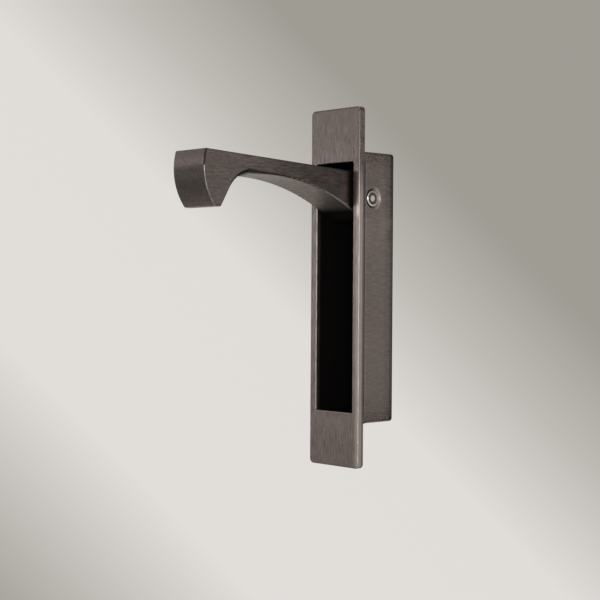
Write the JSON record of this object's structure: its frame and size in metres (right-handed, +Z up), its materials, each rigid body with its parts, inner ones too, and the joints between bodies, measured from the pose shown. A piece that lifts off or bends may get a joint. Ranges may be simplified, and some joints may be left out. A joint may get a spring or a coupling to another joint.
{
  "type": "sliding door edge pull",
  "caption": "Slim flip-out edge pull for a sliding door: a hooked lever swings out of a recessed pocket behind a narrow face plate.",
  "frame": {"origin": "centre of the housing's back face, halfway between the two screw holes", "axes": "+X across the pull, +Y into the door along the screws, +Z up along the face plate; the front faces -Y"},
  "size_m": [0.019, 0.0666, 0.0984],
  "materials": {
    "dark_bronze": "dark bronze, fine brushing along the length",
    "pin_steel": "bright staked ends",
    "washer_brass": "plain stamped brass",
    "spring_steel": "blued spring steel"
  },
  "bodies": {
    "root": {"housing": "dark_bronze", "pivot_pin": "pin_steel", "friction_washer_left": "washer_brass", "friction_washer_right": "washer_brass", "spring_washer_left": "spring_steel", "spring_washer_right": "spring_steel"},
    "pull": {"pull_lever": "dark_bronze"}
  },
  "joints": [
    {"name": "pull_swing", "type": "hinge", "parent": "root", "child": "pull", "pos_m": [0, -0.00845, 0.0245], "axis": [1, 0, 0], "range_deg": [0, 93]}
  ]
}
